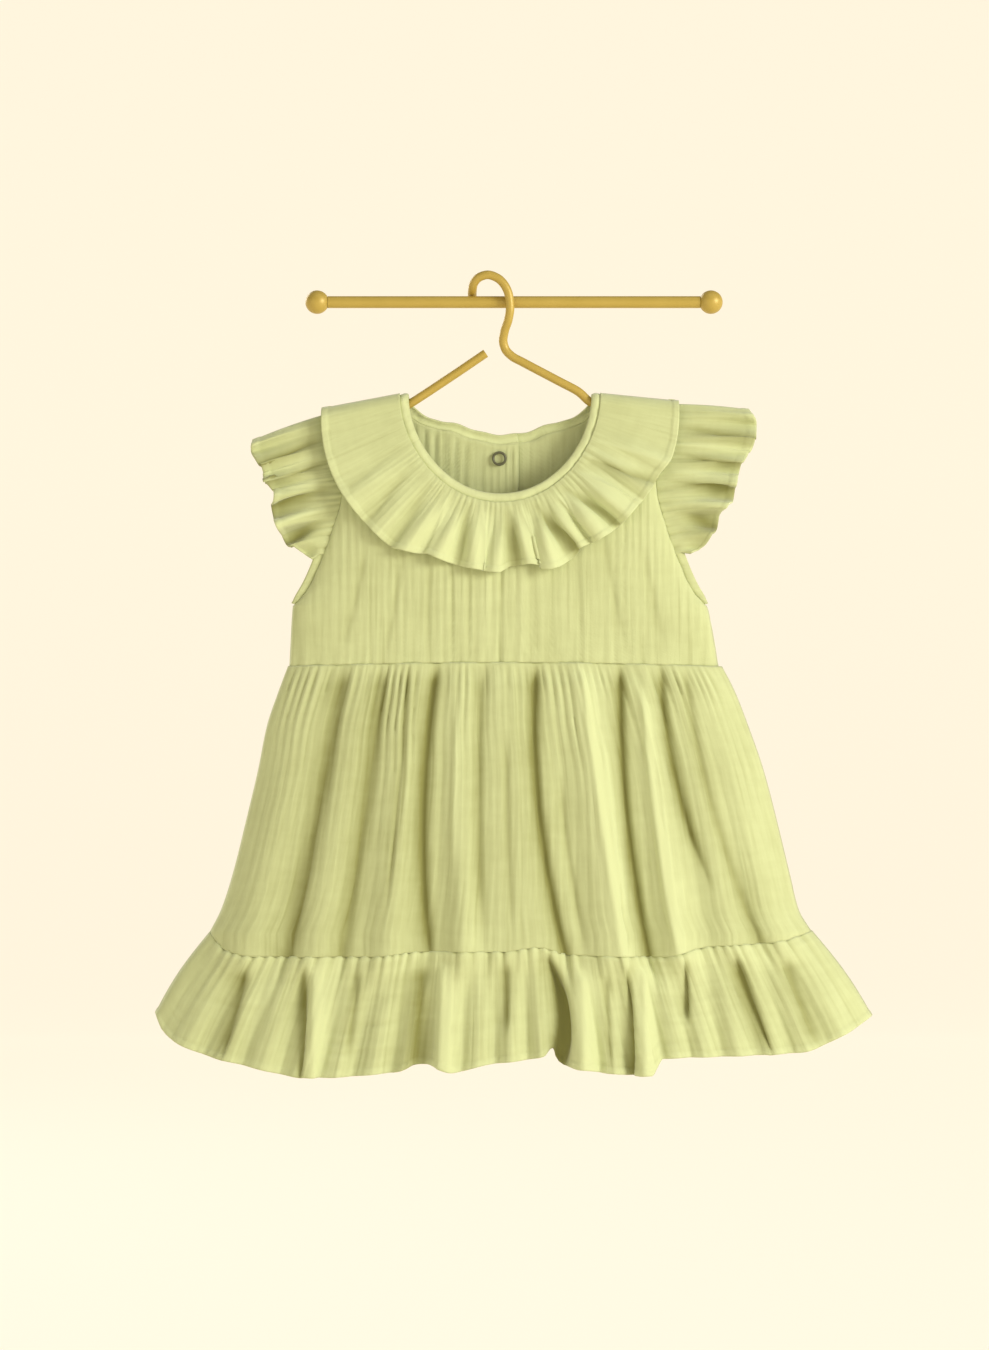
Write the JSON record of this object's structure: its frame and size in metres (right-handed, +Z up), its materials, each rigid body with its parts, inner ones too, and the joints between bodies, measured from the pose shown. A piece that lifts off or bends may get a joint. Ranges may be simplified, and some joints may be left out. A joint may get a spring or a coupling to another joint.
{
  "type": "ruffle dress on a hanger and rod",
  "caption": "Toddler's crinkled muslin dress with a neck ruffle, flutter sleeves and a hem ruffle, on a bent wire hanger that hangs on a short rod.",
  "frame": {"origin": "middle of the rod's axis, where the rod is held", "axes": "+Z up, -Y towards the front of the dress, +X to the right as seen from the front"},
  "size_m": [0.4556, 0.0748, 0.51],
  "materials": {
    "muslin": "matt crinkled double gauze",
    "gold_paint": "satin paint",
    "snap": "satin paint"
  },
  "bodies": {
    "root": {"bodice_front": "muslin", "bodice_back_left": "muslin", "bodice_back_right": "muslin", "neck_binding_front": "muslin", "neck_binding_back_left": "muslin", "neck_binding_back_right": "muslin", "neck_ruffle_front": "muslin", "neck_ruffle_back_left": "muslin", "neck_ruffle_back_right": "muslin", "sleeve_left": "muslin", "sleeve_right": "muslin", "armhole_binding_left": "muslin", "armhole_binding_right": "muslin", "skirt_front": "muslin", "skirt_back": "muslin", "hem_ruffle_front": "muslin", "hem_ruffle_back": "muslin", "snap_ring": "snap", "snap_cap": "snap", "hanger": "gold_paint", "rod": "gold_paint", "rod_ball_left": "gold_paint", "rod_ball_right": "gold_paint"}
  },
  "joints": []
}
